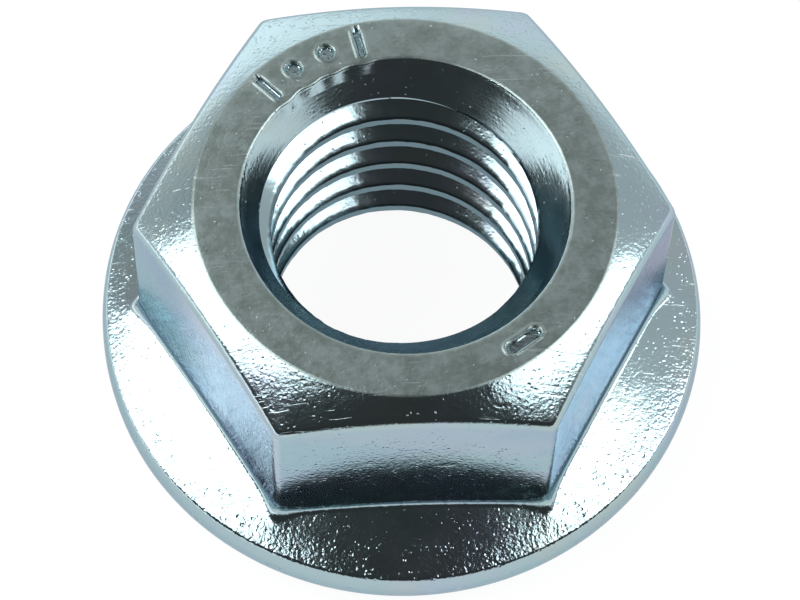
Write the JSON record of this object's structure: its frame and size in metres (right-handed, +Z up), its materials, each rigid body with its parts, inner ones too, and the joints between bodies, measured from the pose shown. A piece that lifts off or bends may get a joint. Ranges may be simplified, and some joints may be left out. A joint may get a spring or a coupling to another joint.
{
  "type": "serrated flange nut",
  "caption": "Hexagon nut with an integral flange, a countersunk threaded hole and radial locking serrations under the flange.",
  "frame": {"origin": "centre of the bearing face, at the tips of the serration teeth, on the thread axis", "axes": "+Z up the thread axis from the flange to the top face; the hexagon's corners lie on the X axis and every 60 degrees from it, and two flats face +Y and -Y"},
  "size_m": [0.02, 0.02, 0.0097],
  "materials": {
    "zinc_plate": "blue-passivated zinc plate on forged steel, bright and finely pitted"
  },
  "bodies": {
    "root": {"flange_nut": "zinc_plate"}
  },
  "joints": []
}
